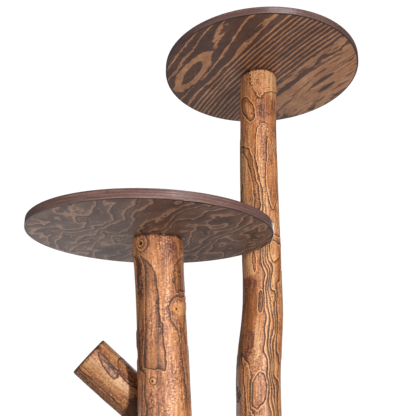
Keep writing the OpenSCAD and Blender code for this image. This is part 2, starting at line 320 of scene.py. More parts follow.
# %% [markdown]
# ## The logs
# A peeled log isn't a smooth cylinder. The knife and the sander cut through the yearly
# layers, and each cut layer ends in a low step, so a log looks like a map with contour
# lines. Knots push the layers outwards and make closed loops.
# The relief here starts as a growth field: a number at each point of the surface that says
# how many layers lie above it. Stretched noise gives its long waves. Loops, lobes and knots
# are added where the real logs show them. Whole numbers in the field are the steps.
# All lengths here are millimetres, and a degree round a log counts as if the log were
# LOG_RADIUS thick everywhere.

# %% Noise and outlines
LOG_RADIUS = 50.0
DEGREE = math.radians(1) * LOG_RADIUS


def smooth(t):
    t = np.clip(t, 0.0, 1.0)
    return t * t * (3.0 - 2.0 * t)


def field_noise(places, size, seed):
    stretched = places / np.array(size) + seed
    flat = [noise.noise(Vector(p)) for p in stretched.reshape(-1, 3)]
    return np.array(flat).reshape(places.shape[:-1])


def turned(around):
    """The same angles, between -180 and 180 degrees."""
    return (around + 180.0) % 360.0 - 180.0


def reach(around, along, loop, wobble):
    """How far each point is from a loop's middle: 1 on the loop's outline."""
    mid_around, mid_along, half_width, half_length, lean, square = loop
    x = turned(around - mid_around) * DEGREE
    y = along - mid_along
    c, s = math.cos(math.radians(lean)), math.sin(math.radians(lean))
    u = np.abs(x * c - y * s) / half_width
    v = np.abs(x * s + y * c) / half_length
    return (u ** square + v ** square) ** (1.0 / square) + wobble


def depth_inside(shape_reach, steps):
    """Millimetres from each point to the loop's outline, positive inside it."""
    pull = np.hypot(np.gradient(shape_reach, steps[0], axis=0),
                    np.gradient(shape_reach, steps[1], axis=1))
    depth = (1.0 - shape_reach) / np.maximum(pull, 1e-4)
    return np.where(shape_reach > 1.8, -100.0, depth)


def depth_in_patch(around, along, alongs, lefts, rights):
    """The same for a patch given by its left and right border at some places along."""
    x = turned(around)
    side = np.minimum(x - np.interp(along, alongs, lefts),
                      np.interp(along, alongs, rights) - x) * DEGREE
    return np.minimum(side, np.minimum(along - alongs[0], alongs[-1] - along))


print("one loop's reach:", reach(np.array([10.0]), np.array([40.0]), (0, 0, 9, 40, 0, 2), 0))

# %% [markdown]
# The field starts halfway between two steps, so where its noise is calm there is no step at
# all. The back of each log, which has nothing listed for it, gets wilder noise.
# - A loop raises or sinks all that it holds, and a patch does the same between a left and a
#   right border. Both also change the stain, and both have ragged borders.
# - A knot pushes the layers up round itself, has a golden heart and a dark hole.
# - A flow is a stream of steps side by side that follows a path along the log.

# %% The growth field
START = 0.5
BACK_CALM = 0.75
BACK_FROM, BACK_BLEND = 86.0, 32.0
STAIN_EDGE = 5.0
STEP_BAND = 15.0


class Growth:
    def __init__(self, around, along, steps, seed, calm):
        self.around, self.along, self.steps = around, along, steps
        a = np.radians(around)
        places = np.stack([LOG_RADIUS * np.cos(a), LOG_RADIUS * np.sin(a), along], -1)
        back = smooth((np.abs(turned(around)) - BACK_FROM) / BACK_BLEND)
        wild = calm + (BACK_CALM - calm) * back
        self.field = START + wild * 1.9 * field_noise(places, (34, 34, 190), seed)
        self.field += wild * 0.8 * field_noise(places, (15, 15, 62), seed + 3.3)
        self.wobble = 0.13 * field_noise(places, (11, 11, 30), seed + 7.1)
        self.jag = 2.6 * field_noise(places, (5, 5, 7), seed + 9.7)
        self.stain = 0.10 * field_noise(places, (26, 26, 110), seed + 5.5)
        self.sway = 13.0 * field_noise(places, (20, 20, 46), seed + 13.1)
        self.heart = np.zeros_like(self.field)

    def raise_inside(self, depth, band, rise, shade):
        self.field += rise * smooth(0.5 + depth / band)
        self.stain += shade * smooth(0.5 + depth / STAIN_EDGE)

    def add_loop(self, loop, rise, shade, ragged):
        depth = depth_inside(reach(self.around, self.along, loop, self.wobble), self.steps)
        band = min(STEP_BAND, 1.5 * loop[2])
        self.raise_inside(depth + self.jag * ragged, band, rise, shade)

    def add_patch(self, alongs, lefts, rights, rise, shade, ragged):
        depth = depth_in_patch(self.around, self.along, alongs, lefts, rights)
        depth = depth + self.jag * ragged + 24.0 * self.wobble
        self.raise_inside(depth, STEP_BAND, rise, shade)

    def add_knot(self, mid_around, mid_along, radius, hole):
        loop = (mid_around, mid_along, radius * 1.15, radius, 0.0, 2.0)
        away = reach(self.around, self.along, loop, 0.3 * self.wobble)
        self.field += 0.38 * np.exp(-(away / 1.25) ** 2)
        self.heart = np.maximum(self.heart, 1.0 - smooth((away - 0.8) / 0.5))
        loop = (mid_around, mid_along, hole, hole, 0.0, 2.0)
        near = reach(self.around, self.along, loop, 0.0)
        self.stain += 1.9 * (1.0 - smooth((near - 0.7) / 0.6))

    def add_flow(self, first, last, path_along, path_around, width, rise, spread):
        middle = np.interp(self.along, path_along, path_around)
        x = turned(self.around + self.sway - middle)
        share = smooth(0.5 + x * DEGREE / width) - 0.5
        ends = smooth((self.along - first) / 50.0) * smooth((last - self.along) / 50.0)
        self.field += rise * share * ends * smooth((spread - np.abs(x)) / 45.0)


def growth_of(around, along, steps, loops, patches, knots, flows, seed, calm):
    growth = Growth(around, along, steps, seed, calm)
    for loop in loops:
        growth.add_loop(*loop)
    for patch in patches:
        growth.add_patch(*patch)
    for knot in knots:
        growth.add_knot(*knot)
    for flow in flows:
        growth.add_flow(*flow)
    return growth.field, growth.stain, growth.heart


sample = np.linspace(-180.0, 180.0, 5)[None, :] * np.ones((3, 1))
sample = growth_of(sample, 0.1 * sample, (1, 1), [], [], [(0, 0, 9, 3)], [], 4.2, 0.3)
print("growth in a ring with one knot:", sample[0][0].round(2))

# %% [markdown]
# Each log's mesh is a flat grid that is rolled round the log. Its radius is measured from
# the CAD log by rays shot inwards, so the lengths, the bows and the flat seats stay true,
# and then the relief is added. The grid's points are moved all at once with arrays, as
# there are tens of thousands of them. Where another log comes close, the relief fades out,
# so that no log grows into its neighbour.

# %% Measuring a log's surface
FAR = 120.0


class LogShape:
    """Where a log's own millimetres are in the model: two across it and one along it."""

    def __init__(self, node, start, turn, length, line):
        self.start, self.turn, self.length, self.line = start, turn, length, line
        obj = bpy.data.objects[node]
        corners = [v.co[:] for v in obj.data.vertices]
        faces = [p.vertices[:] for p in obj.data.polygons]
        self.tree = BVHTree.FromPolygons(corners, faces)

    def place(self, across_x, across_y, along):
        drift_x, drift_y = self.line(along)
        local = np.stack([across_x + drift_x, across_y + drift_y, along], -1) / 1000.0
        return local @ np.array(self.turn.transposed()) + np.array(self.start)


def measured_radius(shape, angle, along):
    """The log's radius at each angle and height, by rays from FAR outside it."""
    c, s = np.cos(angle), np.sin(angle)
    axis = shape.place(0 * c, 0 * s, along)
    far = shape.place(FAR * c, FAR * s, along)
    inward = (axis - far) / (FAR / 1000)
    radius = np.full(angle.shape, np.nan)
    for at in np.ndindex(angle.shape):
        hit = shape.tree.ray_cast(Vector(far[at]), Vector(inward[at]), FAR / 1000)
        if hit[0] is not None:
            radius[at] = FAR - hit[3] * 1000.0
    for k in np.argwhere(np.isnan(radius).any(axis=1))[:, 0]:
        radius[k, np.isnan(radius[k])] = np.nanmean(radius[max(0, k - 4):k + 5])
    return radius


def quiet_near(points, others):
    """1 beyond 14 mm from the other logs, falling to 0 at 4 mm from them."""
    quiet = np.ones(points.shape[:-1])
    for at in np.ndindex(quiet.shape):
        for other in others:
            near = other.tree.find_nearest(Vector(points[at]), 0.014)
            if near[0] is not None:
                quiet[at] = min(quiet[at], max(0.0, near[3] * 1000 - 4) / 10)
    return quiet


print("rays start", FAR, "mm from a log's middle line")

# %% [markdown]
# The rolled grid is an open tube. Its two ends are drawn inwards in a few steps and closed
# with a small face. The edge of each end stays sharp, as a saw leaves it.

# %% Closing the ends
CAP_STEPS = (0.94, 0.62, 0.3, 0.06)


def close_end(bm, rim, steps):
    """Draws a rim of edges inwards in steps and closes it with one face."""
    corners = {v for e in rim for v in e.verts}
    middle = sum((v.co for v in corners), Vector()) / len(corners)
    faces = []
    size = 1.0
    for e in rim:
        e.smooth = False
    for share in steps:
        made = bmesh.ops.extrude_edge_only(bm, edges=rim)["geom"]
        faces += [g for g in made if isinstance(g, bmesh.types.BMFace)]
        rim = [g for g in made if isinstance(g, bmesh.types.BMEdge) and g.is_boundary]
        loop = list({v for e in rim for v in e.verts})
        scale = share / size
        bmesh.ops.scale(bm, vec=(scale, scale, scale), verts=loop,
                        space=Matrix.Translation(-middle))
        size = share
    made = bmesh.ops.contextual_create(bm, geom=rim)["faces"]
    return faces + made


def close_ends(bm, shape, grain):
    rims = [e for e in bm.edges if e.is_boundary]
    axis = shape.turn @ Vector((0, 0, 1))
    middle = Vector(shape.place(np.zeros(1), np.zeros(1), np.array([shape.length / 2]))[0])
    for sign in (-1, 1):
        rim = [e for e in rims if sign * (e.verts[0].co - middle).dot(axis) > 0]
        for f in close_end(bm, rim, CAP_STEPS):
            f.material_index = 1
            f.smooth = True
            for v in f.verts:
                v[grain] = shape.turn.transposed() @ (v.co - Vector(shape.start)) * 1000.0


print("an end is closed in", len(CAP_STEPS), "steps")

# %% [markdown]
# A step in the relief is STEP_HEIGHT high and falls over STEP_RUN. Between two steps the
# surface leans back by most of a step, or the log would grow thicker from layer to layer.
# Deep stain marks a hole, so the surface sinks there, and it sinks as well where painted
# shade makes the stain as deep. The field, its slope, the stain with its painted shade and
# the knots' hearts are kept on the mesh as attributes, for the finish to read.

# %% Rolling a log
STEP_HEIGHT = 1.6
STEP_RUN = 3.2
LEAN_BACK = 0.62
LEAST_SLOPE = 0.004
ATTRIBUTES = ("growth", "slope", "stain", "heart")


def slope_of(field, step_along, step_around):
    closed = np.concatenate([field[:, -2:-1], field, field[:, 1:2]], 1)
    slope = np.hypot(np.gradient(field, step_along, axis=0),
                     np.gradient(closed, step_around, axis=1)[:, 1:-1])
    return np.maximum(slope, LEAST_SLOPE)


def relief_of(field, slope, stain):
    level = np.floor(field)
    rise = smooth(1.0 - (1.0 - (field - level)) / slope / STEP_RUN)
    relief = STEP_HEIGHT * (level + rise - LEAN_BACK * field)
    return relief - 1.4 * np.clip(stain - 0.55, 0.0, 1.0)


def finished_piece(name, bm, finishes):
    mesh = bpy.data.meshes.new(name)
    bm.to_mesh(mesh)
    bm.free()
    for finish in finishes:
        mesh.materials.append(finish.material)
    obj = bpy.data.objects.new(name, mesh)
    bpy.context.scene.collection.objects.link(obj)
    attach(obj, "root")
    return obj


def rolled_log(name, shape, sides, rings, foot_cut, carve, others, finishes):
    bm = bmesh.new()
    layers = [bm.verts.layers.float.new(key) for key in ATTRIBUTES]
    grain = bm.verts.layers.float_vector.new("grain")
    bmesh.ops.create_grid(bm, x_segments=sides, y_segments=rings, size=0.5)
    verts = list(bm.verts)
    co = np.round(np.array([v.co[:] for v in verts]), 5)
    order = np.lexsort((co[:, 0], co[:, 1]))
    grid = co[order].reshape(rings + 1, sides + 1, 3)
    angle = (grid[..., 0] + 0.5) * 2 * math.pi
    first = foot_cut(angle)
    along = first + (grid[..., 1] + 0.5) * (shape.length - first)
    radius = measured_radius(shape, angle, np.clip(along, first + 0.4, shape.length - 0.2))
    radius[:, -1] = radius[:, 0]
    steps = (shape.length - first.mean()) / rings, 2 * math.pi * LOG_RADIUS / sides
    field, stain, heart = carve(np.degrees(angle), along, steps)
    for values in (field, stain, heart):
        values[:, -1] = values[:, 0]
    slope = slope_of(field, *steps)
    relief = relief_of(field, slope, stain)
    c, s = np.cos(angle), np.sin(angle)
    quiet = quiet_near(shape.place(radius * c, radius * s, along), others)
    ends = smooth((along - first) / 6.0) * smooth((shape.length - along) / 6.0)
    grown = radius + relief * quiet * ends
    points = shape.place(grown * c, grown * s, along).reshape(-1, 3)
    local = np.stack([grown * c, grown * s, along], -1).reshape(-1, 3)
    kept = [values.reshape(-1) for values in (field, slope, stain, heart)]
    for n, at in enumerate(order):
        v = verts[at]
        v.co = points[n]
        v[grain] = local[n]
        for layer, values in zip(layers, kept):
            v[layer] = float(values[n])
    bmesh.ops.remove_doubles(bm, verts=bm.verts, dist=2e-6)
    for f in bm.faces:
        f.smooth = True
    close_ends(bm, shape, grain)
    bmesh.ops.recalc_face_normals(bm, faces=bm.faces)
    obj = finished_piece(name, bm, finishes)
    print(name, len(obj.data.polygons), "faces, relief", relief.min().round(2),
          relief.max().round(2), "mm")
    return obj


print("one step:", relief_of(np.array([0.9, 1.0]), np.array([0.1, 0.1]), np.zeros(2)), "mm")

# %% [markdown]
# The middle line of each post is measured from the rings of the CAD log, and the brace's
# line from its free end, which is a flat face square to the log.

# %% Measuring the logs
LOG_SIDES = 36


def post_shape(node):
    low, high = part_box(node)
    co = np.array([v.co[:] for v in bpy.data.objects[node].data.vertices]) * 1000.0
    co = np.unique(np.round(co, 3), axis=0)
    heights, counts = np.unique(np.round(co[:, 2], 2), return_counts=True)
    full = [h for h, n in zip(heights, counts) if n == LOG_SIDES]
    rings = [co[np.abs(co[:, 2] - h) < 0.02] for h in full]
    middles = np.array([(r.min(axis=0) + r.max(axis=0)) / 2 for r in rings])
    base = low[2] * 1000.0

    def line(along):
        return (np.interp(along + base, full, middles[:, 0]),
                np.interp(along + base, full, middles[:, 1]))

    start = (0.0, 0.0, low[2])
    length = (high[2] - low[2]) * 1000.0
    return LogShape(node, start, Matrix.Identity(3), length, line)


def end_faces(mesh):
    """The faces of the brace's free end: the largest flat that leans upwards, at its tip."""
    areas = {}
    for p in mesh.polygons:
        if 0.5 < p.normal.z < 0.8:
            key = tuple(round(n, 2) for n in p.normal)
            areas[key] = areas.get(key, 0.0) + p.area
    facing = Vector(max(areas, key=areas.get))
    flats = [p for p in mesh.polygons if (p.normal - facing).length < 0.01]
    far = max(p.center.dot(facing) for p in flats)
    return [p for p in flats if p.center.dot(facing) > far - 0.001]


def brace_shape(node):
    flats = end_faces(bpy.data.objects[node].data)
    up = sum((p.normal * p.area for p in flats), Vector()).normalized()
    end = sum((p.center * p.area for p in flats), Vector()) / sum(p.area for p in flats)
    board_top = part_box("base_board")[1][2]
    length = (end.z - board_top) / up.z
    across = Vector((up.x, up.y, 0.0)).normalized() * up.z
    across.z = -math.sqrt(1.0 - up.z ** 2)
    turn = Matrix((across, up.cross(across), up)).transposed()
    start = end - up * length
    return LogShape(node, tuple(start), turn, length * 1000.0, lambda s: (0 * s, 0 * s))


low_post = post_shape("lower_post")
high_post = post_shape("upper_post")
brace = brace_shape("brace_log")
brace_rise = math.asin((brace.turn @ Vector((0, 0, 1))).z)
front = brace.turn.transposed() @ (camera.location - Vector(brace.place(0, 0, brace.length)))
brace_front = math.degrees(math.atan2(front.y, front.x))
print("lengths", low_post.length, high_post.length, round(brace.length, 1))
print("brace rises", round(math.degrees(brace_rise), 1), "front at", round(brace_front, 1))

# %% [markdown]
# ## The finish of the logs
# The posts were stained and then rubbed back. The stain is darkest in the angle under each
# step and has been rubbed off the edge above it. The dark line there and the soft band under
# it are also painted shade for that angle. Between the steps the wood shows fine streaks
# along the log and short ticks across it, where the layers were cut through.
# below and above are millimetres from a step, on its low and on its high side: the part of
# the field that is left over, divided by its slope. widths holds the width of the dark line,
# the width of the pale edge, and how strong that edge is.

# %% Log finish


def log_finish(name, colours, line_colour, rim_colour, heart_colour, widths, shift):
    line_width, rim_width, rim_share = widths
    f = Finish(name)
    place = f.node("VectorMath", {"operation": "ADD"}, [f.own("grain", 1), (shift, 0.0, 0.0)])
    growth = f.own("growth", 2)
    slope = f.own("slope", 2)
    stain = f.own("stain", 2)
    heart = f.own("heart", 2)
    jag = f.noise(place, (2.6, 2.6, 3.4), 3.0, 0.6) - 0.5
    field = growth + jag * 5.0 * slope
    part = field.math("FRACT")
    below = (1.0 - part) / slope
    above = part / slope
    streak = f.noise(place, (2.8, 2.8, 46), 3.0, 0.7) - 0.5
    wide = f.noise(place, (7, 7, 130), 2.0) - 0.5
    tick = f.noise(place, (5.0, 5.0, 2.8), 2.0, 0.7) - 0.5
    grit = f.noise(place, (3.2, 3.2, 5.0), 2.0, 0.6) - 0.5
    patch = f.noise(place, (20, 20, 60), 3.0) - 0.5
    where = f.fade(f.noise(place, (16, 16, 60), 2.0), 0.34, 0.56)
    # stain and painted shade: the angle under each step is darker
    soak_and_shade = f.fade(below, 15.0, 1.0)
    shade = 0.40 + stain + streak * 1.2 + wide * 0.8 + tick * where * 1.9 + grit * 1.0
    shade = shade + patch * 0.6 + soak_and_shade * 0.16
    colour = f.ramp(shade, colours)
    golden = f.fade(f.noise(place, (22, 22, 80), 3.0), 0.46, 0.62)
    colour = f.mix(golden * 0.34, colour, heart_colour)
    faded = f.fade(f.noise(place, (18, 18, 45), 2.0), 0.3, 0.55)
    line = f.fade(below, line_width, 1.2) * (0.62 + faded * 0.34)
    glow = f.fade(above, rim_width, 1.2) * (rim_share - faded * 0.2)
    pores = f.fade(f.noise(place, (0.7, 0.7, 9), 2.0, 0.6), 0.6, 0.72)
    colour = f.mix(heart * 0.75, colour, heart_colour)
    colour = f.mix(glow, colour, rim_colour)
    colour = f.mix(pores * 0.35, colour, line_colour)
    colour = f.mix(line, colour, line_colour)
    # the same near-black is also painted shade right under each perch
    hole = f.fade(stain, 0.95, 1.1)
    colour = f.mix(hole, colour, tone("1c110b"))
    f.set(Base_Color=colour, Roughness=0.5 + line * 0.2 + streak * 0.3)
    f.bump(line * -0.45 + streak * 0.55 + tick * where * 0.3 - pores * 0.12, 0.8)
    return f


post_colours = [(0.0, tone("d8a97b")), (0.2, tone("c58c5e")), (0.42, tone("a66a45")),
                (0.62, tone("804c33")), (0.8, tone("5c3626")), (1.0, tone("372016"))]
low_finish = log_finish("low_post_wood", post_colours, tone("422a20"), tone("cb8b55"),
                        tone("cf8a4c"), (4.6, 3.6, 0.6), 0.0)
high_finish = log_finish("high_post_wood", post_colours, tone("3c241b"), tone("e8a86c"),
                         tone("c2773a"), (6.2, 4.2, 0.95), 300.0)
brace_finish = log_finish("brace_wood", post_colours, tone("3a251c"), tone("bd7f50"),
                          tone("b57840"), (4.4, 3.4, 0.5), 700.0)
print("log finishes:", [f.material.name for f in (low_finish, high_finish, brace_finish)])

# %% [markdown]
# The sawn ends show the yearly rings. They are the distance from the log's middle line,
# bent a little by noise, and the wood is darker where the bark was.

# %% End grain
end_grain = Finish("end_grain")
place = end_grain.own("grain", 1)
flat = end_grain.node("VectorMath", {"operation": "MULTIPLY"}, [place, (1.0, 1.0, 0.0)])
bend = end_grain.noise(flat, (16, 16, 16), 2.0) - 0.5
away = end_grain.node("VectorMath", {"operation": "LENGTH"}, [flat], out=1) + bend * 5.0
ring = (away * 0.42).math("FRACT")
ring = end_grain.fade(ring, 0.35, 0.95) - end_grain.fade(ring, 0.94, 1.0)
speck = end_grain.noise(place, (0.8, 0.8, 0.8), 2.0) - 0.5
shade = 0.45 + ring * 0.35 + speck * 0.8 + bend * 0.8 + end_grain.fade(away, 36, 44) * 0.25
end_colour = end_grain.ramp(shade, [(0.0, tone("b4977a")), (0.5, tone("8d6f56")),
                                    (1.0, tone("4a382c"))])
end_grain.set(Base_Color=end_colour, Roughness=0.75)
end_grain.bump(speck * 0.4 - ring * 0.12)
print("end grain:", len(end_grain.tree.nodes), "nodes")

# %% [markdown]
# ## The low post
# Its front shows one tall sunken patch with a pointed top, three small knots, and layers
# that bend round the right-hand knot. Degrees count round the log from FRONT, and
# millimetres down from the top.
# - A loop has a middle, half its width and half its length, its lean, and how square it is.
# - A patch has some heights, and its left and its right border at each of them.
# - Both then have their rise in steps, their stain, and how ragged their border is.
# - A knot has a middle, its radius, and its hole's radius.
# - A flow has its first and last height, its path, its width, its steps, and its spread.
# A loop with no rise is only a darker or paler place.

# %% The low post

def low_carve(around, along, steps):
    d = low_post.length - along
    phi = around - FRONT
    loops = [
        ((0, 300, 179, 500, 0, 6.0), 0.0, 0.06, 0.0),
        # painted shade: the top of the post is darker under the perch
        ((0, 4, 179, 28, 0, 6.0), 0.0, 0.17, 1.6),
        ((34, 66, 24, 44, 0, 2.6), 0.0, 0.12, 2.4),
        ((-22, 178, 12, 76, -5, 2.6), 0.0, -0.22, 1.6),
        ((53, 149, 18, 13, 0, 2.4), 0.0, -0.26, 1.2),
        ((-37, 21, 13, 12, 0, 2.0), 1.0, -0.22, 0.8),
        ((-23, 284, 10, 10, 0, 2.0), 0.0, -0.30, 1.6),
        ((-34, 322, 22, 50, 0, 3.0), 0.0, 0.10, 2.0),
        ((12, 120, 12, 130, -4, 3.0), 0.0, -0.09, 2.0),
        ((25, 420, 14, 130, -4, 3.0), 0.0, -0.08, 2.0),
        # painted shade: a dark band just under the perch
        ((0, 0, 170, 6, 0, 6.0), 0.0, 0.8, 0.4),
        ((170, 240, 24, 120, 0, 2.6), 1.0, 0.14, 0.8),
        ((130, 470, 20, 60, 0, 2.2), 1.0, -0.1, 0.8),
    ]
    patches = [
        ([34, 46, 58, 85, 116, 150, 185, 217, 250, 265],
         [-54, -56, -58, -60, -62, -63, -64, -65, -66, -58],
         [-50, -34, -21, -4, -1, 2, 7, 9, 11, 8], -1.0, 0.29, 0.6),
        ([34, 52, 66, 92, 128], [99, 54, 42, 37, 44], [120, 120, 120, 120, 120], -1.0,
         0.10, 1.0),
        ([116, 132, 148, 170, 192, 230, 280, 380, 470], [52, 30, 22, 26, 42, 52, 58, 66, 90],
         [120, 120, 120, 120, 120, 120, 120, 120, 100], 1.0, -0.02, 0.7),
    ]
    knots = [(-38, 21, 9, 4.6), (42, 150, 8, 2.8), (-22, 284, 7, 2.8), (-70, 420, 9, 3),
             (150, 180, 10, 4), (-140, 330, 8, 3), (10, 520, 9, 4)]
    flows = [(420, 690, [250, 400, 690], [4, 10, 0], 60, 2.0, 98),
             (20, 660, [20, 300, 660], [-120, -130, -115], 70, 3.0, 98)]
    return growth_of(phi, d, steps, loops, patches, knots, flows, 4.2, 0.3)


def level_foot(angle):
    return 0 * angle


low_log = rolled_log("low_post_log", low_post, 180, 400, level_foot, low_carve,
                     [brace], (low_finish, end_grain))
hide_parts("lower_post")

# %% [markdown]
# ## The high post
# Under the perch is a light layer with a ragged lower edge. Below it come a sunken oval, a
# lobe on the left, long pointed layers on the right, and then a stream of close layers
# that winds down past a slot, a dark band and a ring. The back has a second stream.

# %% The high post


def high_carve(around, along, steps):
    d = high_post.length - along
    phi = around - FRONT
    loops = [
        ((-41, 117, 18, 43, 24, 2.0), -1.0, 0.16, 0.5),
        ((-37, 122, 8, 26, 24, 2.0), 0.0, -0.34, 1.0),
        ((74, 655, 34, 110, 0, 2.6), 1.0, 0.04, 0.8),
        ((-9, 626, 6, 27, 0, 2.6), -1.0, 0.2, 0.3),
        ((-13, 706, 8, 50, 6, 2.6), 0.0, -0.30, 2.4),
        ((-52, 540, 26, 26, 0, 2.6), 0.0, -0.16, 2.4),
        ((-4, 828, 19, 43, -8, 2.1), -1.0, 0.05, 0.5),
        ((-2, 826, 7, 25, -8, 2.1), 0.0, -0.16, 1.2),
        ((-69, 838, 13, 17, 0, 2.2), -1.0, 0.34, 0.6),
        ((12, 112, 40, 34, 0, 2.4), 0.0, 0.16, 3.0),
        ((22, 640, 20, 130, 0, 2.6), 0.0, -0.14, 2.0),
        # painted shade: a near-black band just under the perch
        ((0, 0, 170, 8, 0, 6.0), 0.0, 1.1, 0.4),
        ((160, 260, 26, 130, 0, 2.4), 1.0, 0.12, 0.8),
        ((120, 760, 24, 90, 0, 2.4), 1.0, -0.1, 0.8),
        ((-150, 980, 30, 110, 0, 2.6), -1.0, 0.16, 0.8),
        ((30, 1040, 26, 70, 0, 2.4), 1.0, -0.1, 0.8),
    ]
    patches = [
        ([-30, 40, 62, 70, 88], [-38, -28, -19, -14, -4], [100, 99, 60, 26, -1], 1.0, -0.20,
         3.0),
        ([214, 232, 262, 300, 345, 390, 440], [-84, -99, -99, -99, -99, -99, -80],
         [-62, -34, -22, -13, -5, 1, -16], -1.0, 0.06, 0.7),
        ([234, 252, 282, 320, 365, 410], [-80, -90, -90, -90, -90, -80],
         [-60, -47, -35, -27, -20, -28], 1.0, -0.10, 0.7),
        ([164, 178, 200, 230, 280, 320, 370, 410, 470, 530],
         [6, -5, -12, -14, -8, 0, 8, 6, 12, 26],
         [14, 36, 60, 74, 86, 96, 99, 99, 90, 40], 1.0, -0.08, 1.0),
        ([204, 222, 250, 300, 350, 394], [25, 21, 19, 18, 20, 34],
         [28, 37, 52, 66, 68, 38], 1.0, 0.10, 0.6),
        ([562, 578, 640, 700, 742, 772], [-99, -99, -99, -99, -99, -99],
         [-30, -20, -18, -19, -22, -40], 0.0, 0.24, 1.8),
        ([742, 770, 800, 850, 900, 1000], [-60, -50, -44, -38, -34, -34],
         [-56, -30, -26, -24, -22, -10], 1.0, 0.02, 0.8),
    ]
    knots = [(-26, 133, 5, 2.4), (-66, 838, 9, 8), (150, 520, 10, 4),
             (-130, 210, 9, 3), (100, 960, 10, 4), (-20, 1010, 9, 4)]
    flows = [(440, 1150, [440, 520, 620, 695, 765, 815, 900, 1150],
              [4, 8, 21, 25, 25, 37, 44, 30], 44, 4.0, 160),
             (60, 1150, [60, 600, 1150], [178, 168, 182], 70, 3.4, 98)]
    return growth_of(phi, d, steps, loops, patches, knots, flows, 11.7, 0.34)


high_log = rolled_log("high_post_log", high_post, 180, 520, level_foot, high_carve,
                      [brace], (high_finish, end_grain))
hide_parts("upper_post")

# %% [markdown]
# ## The brace
# The leaning log is cut square at its free end and cut level where it stands on the base
# board, so its grid starts on a slant. It has a dark streak near its free end, and a darker
# band of painted shadow where the low post stands close in front of it.

# %% The brace


def brace_carve(around, along, steps):
    d = brace.length - along
    phi = around - brace_front
    loops = [
        ((17, 36, 8, 32, -16, 2.2), -1.0, 0.24, 0.3),
        ((0, 40, 179, 90, 0, 6.0), 0.0, -0.07, 1.0),
        ((2, 70, 16, 70, 8, 2.6), 0.0, -0.18, 1.4),
        ((48, 70, 16, 90, 0, 2.4), 0.0, 0.04, 2.0),
        ((-60, 60, 16, 90, 0, 2.4), 1.0, 0.14, 0.2),
        ((150, 300, 24, 120, 0, 2.4), 1.0, 0.1, 0.8),
        ((-10, 480, 24, 90, 0, 2.4), 1.0, -0.1, 0.8),
        ((0, 0, 170, 3, 0, 6.0), 0.0, 0.3, 0.3),
        # painted shadow: the low post's shadow on the brace, made darker
        ((0, 162, 100, 40, 0, 3.0), 0.0, 0.62, 3.0),
    ]
    knots = [(-62, 34, 6, 3), (40, 420, 8, 3), (160, 120, 9, 4)]
    flows = [(30, 660, [30, 300, 660], [100, 110, 95], 60, 2.6, 98)]
    return growth_of(phi, d, steps, loops, [], knots, flows, 23.1, 0.25)


BRACE_RADIUS = 43.5


def slant(angle):
    return BRACE_RADIUS * np.cos(angle) / math.tan(brace_rise)


brace_piece = rolled_log("brace_round", brace, 160, 330, slant, brace_carve,
                         [low_post, high_post], (brace_finish, end_grain))
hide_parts("brace_log")

# The low post throws a deep shadow on the brace, so the two filling lamps leave it out.
not_brace.objects.link(brace_piece)
for entry in not_brace.collection_objects:
    entry.light_linking.link_state = "EXCLUDE"

# %% [markdown]
# ## The boards
# The perches and the base are stained plywood. The face veneer was peeled off a turning
# log, so its layers show as long lines and loops, pale where the hard part of a layer took
# less stain. The rim shows the edges of the plies under a clear coat.
# The pattern is a growth field again, but worked out in the finish from Object coordinates.

# %% The rim of a board
PLY_THICKNESS = 18.0 / 3.5


def oval(u, v, middle, half):
    """A smooth hill: 1 in its middle, 0.37 on an oval that is half long and wide."""
    x = (u - middle[0]) / half[0]
    y = (v - middle[1]) / half[1]
    return ((x * x + y * y) * -1.0).math("EXPONENT")


def board_rim(f, place, radius, face_colour, face_rough):
    x, y, z = f.apart(place)
    away = (x * x + y * y) ** 0.5
    rim = f.fade(away, radius - 2.2, radius - 1.2)
    ply = (z / PLY_THICKNESS).math("PINGPONG", 0.5) * 2.0
    wave = f.noise(place, (60, 60, 1.1), 3.0, 0.6) - 0.5
    grit = f.noise(place, (5, 5, 0.7), 2.0, 0.6) - 0.5
    shade = 0.40 + f.fade(ply, 0.35, 0.65) * 0.16 + wave * 1.5 + grit * 0.8
    edge = f.ramp(shade, [(0.0, tone("33211f")), (0.45, tone("5a3f39")),
                          (0.75, tone("76574f")), (1.0, tone("a8877c"))])
    arris = f.fade(away, radius - 5.0, radius - 3.0) * f.fade(away, radius - 0.3, radius - 1.2)
    colour = f.mix(rim, face_colour, edge)
    colour = f.mix(arris * 0.85, colour, tone("22140f"))
    f.set(Base_Color=colour, Roughness=face_rough + rim * (wave * 0.5 - 0.05),
          Coat_Weight=rim * (0.7 + wave * 2.0 + grit).least(1.0).most(0.0), Coat_Roughness=0.2,
          Specular_IOR_Level=0.35)
    return rim, wave, grit


print("one pair of plies is", round(PLY_THICKNESS, 2), "mm thick")
print("oval() is 1 in its middle and", round(math.exp(-1), 2), "on its outline")

# %% [markdown]
# The high perch's figure is a fan of close straight lines with a flame on its left and a
# wide pale field with dark specks on its right. u runs across the lines and v along them,
# and steps counts the layers, closer together in the middle of the board.

# %% The high perch's finish
CLOSE_LINES = 13.6
FAN_LEFT, FAN_RIGHT = -105.0, 62.0


